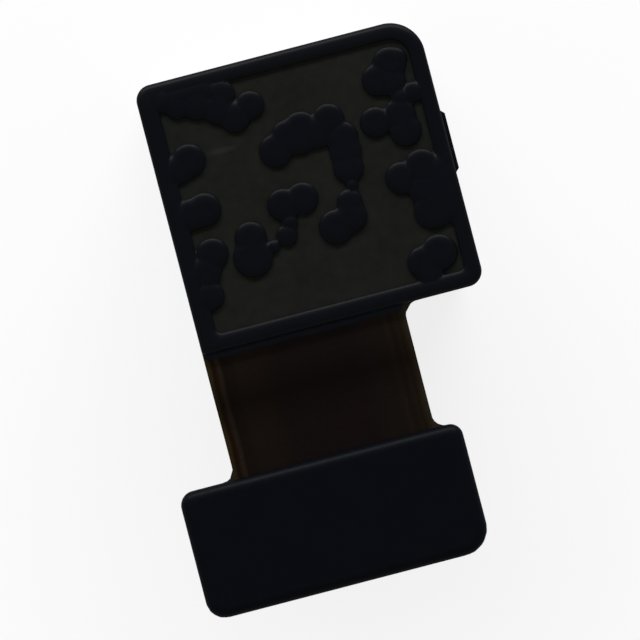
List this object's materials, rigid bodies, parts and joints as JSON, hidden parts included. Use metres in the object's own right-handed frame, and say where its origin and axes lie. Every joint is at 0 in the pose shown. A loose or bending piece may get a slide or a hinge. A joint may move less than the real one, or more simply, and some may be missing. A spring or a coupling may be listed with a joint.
{
  "type": "autofocus camera module",
  "caption": "Small camera module with an autofocus lens in a square can, a flexible tail and a board-to-board plug.",
  "frame": {"origin": "middle of the plan, on the front face of the actuator can", "axes": "+Z from the lens side to the back cover, +Y toward the far end of the head, -Y toward the connector"},
  "size_m": [0.011, 0.0166, 0.0055],
  "materials": {
    "frame_resin": "satin moulded black resin",
    "back_steel": "dark grey-olive, dull",
    "epoxy": "black underfill",
    "polyimide": "dark brown coverlay over copper",
    "board_laminate": "dark solder mask",
    "silicon": "polished die",
    "gold": "gold plated",
    "ceramic": "ceramic chip",
    "chip_resin": "moulded package",
    "holder_resin": "matt black",
    "filter_glass": "coated glass",
    "spring_metal": "copper alloy leaf",
    "carrier_resin": "black polymer",
    "winding": "enamelled copper",
    "magnet": "nickel plated",
    "can_steel": "satin nickel silver",
    "solder": "solder fillet",
    "barrel_resin": "matt black",
    "lens_glass": "coated clear polymer",
    "plug_resin": "liquid crystal polymer",
    "stiffener": "dark navy coated"
  },
  "bodies": {
    "module": {"rear_frame": "frame_resin", "back_plate": "back_steel", "neck_bead": "epoxy", "flex_circuit": "polyimide", "head_board": "board_laminate", "connector_board": "board_laminate", "image_sensor": "silicon", "bond_wires": "gold", "plug_contacts": "gold", "plug_hold_downs": "gold", "coil_terminals": "gold", "chip_capacitors": "ceramic", "focus_driver": "chip_resin", "memory_chip": "chip_resin", "sensor_holder": "holder_resin", "actuator_base": "holder_resin", "spring_spacer": "holder_resin", "ir_filter": "filter_glass", "front_spring": "spring_metal", "rear_springs": "spring_metal", "magnet_1": "magnet", "magnet_2": "magnet", "magnet_3": "magnet", "magnet_4": "magnet", "actuator_can": "can_steel", "terminal_solder": "solder", "plug_housing": "plug_resin", "connector_stiffener": "stiffener"},
    "lens_unit": {"lens_carrier": "carrier_resin", "focus_coil": "winding", "lens_barrel": "barrel_resin", "retaining_ring": "barrel_resin", "lens_1": "lens_glass", "lens_2": "lens_glass", "lens_3": "lens_glass", "lens_4": "lens_glass", "lens_5": "lens_glass", "lens_gasket_1": "barrel_resin", "lens_gasket_2": "barrel_resin", "lens_gasket_3": "barrel_resin", "lens_gasket_4": "barrel_resin"}
  },
  "joints": [
    {"name": "lens_focus", "type": "slide", "parent": "module", "child": "lens_unit", "axis": [0, 0, -1], "range_m": [0, 0.00025], "stiffness_N_per_m": 50, "springref_m": -0.00005, "deforming": ["front_spring", "rear_springs"]}
  ]
}
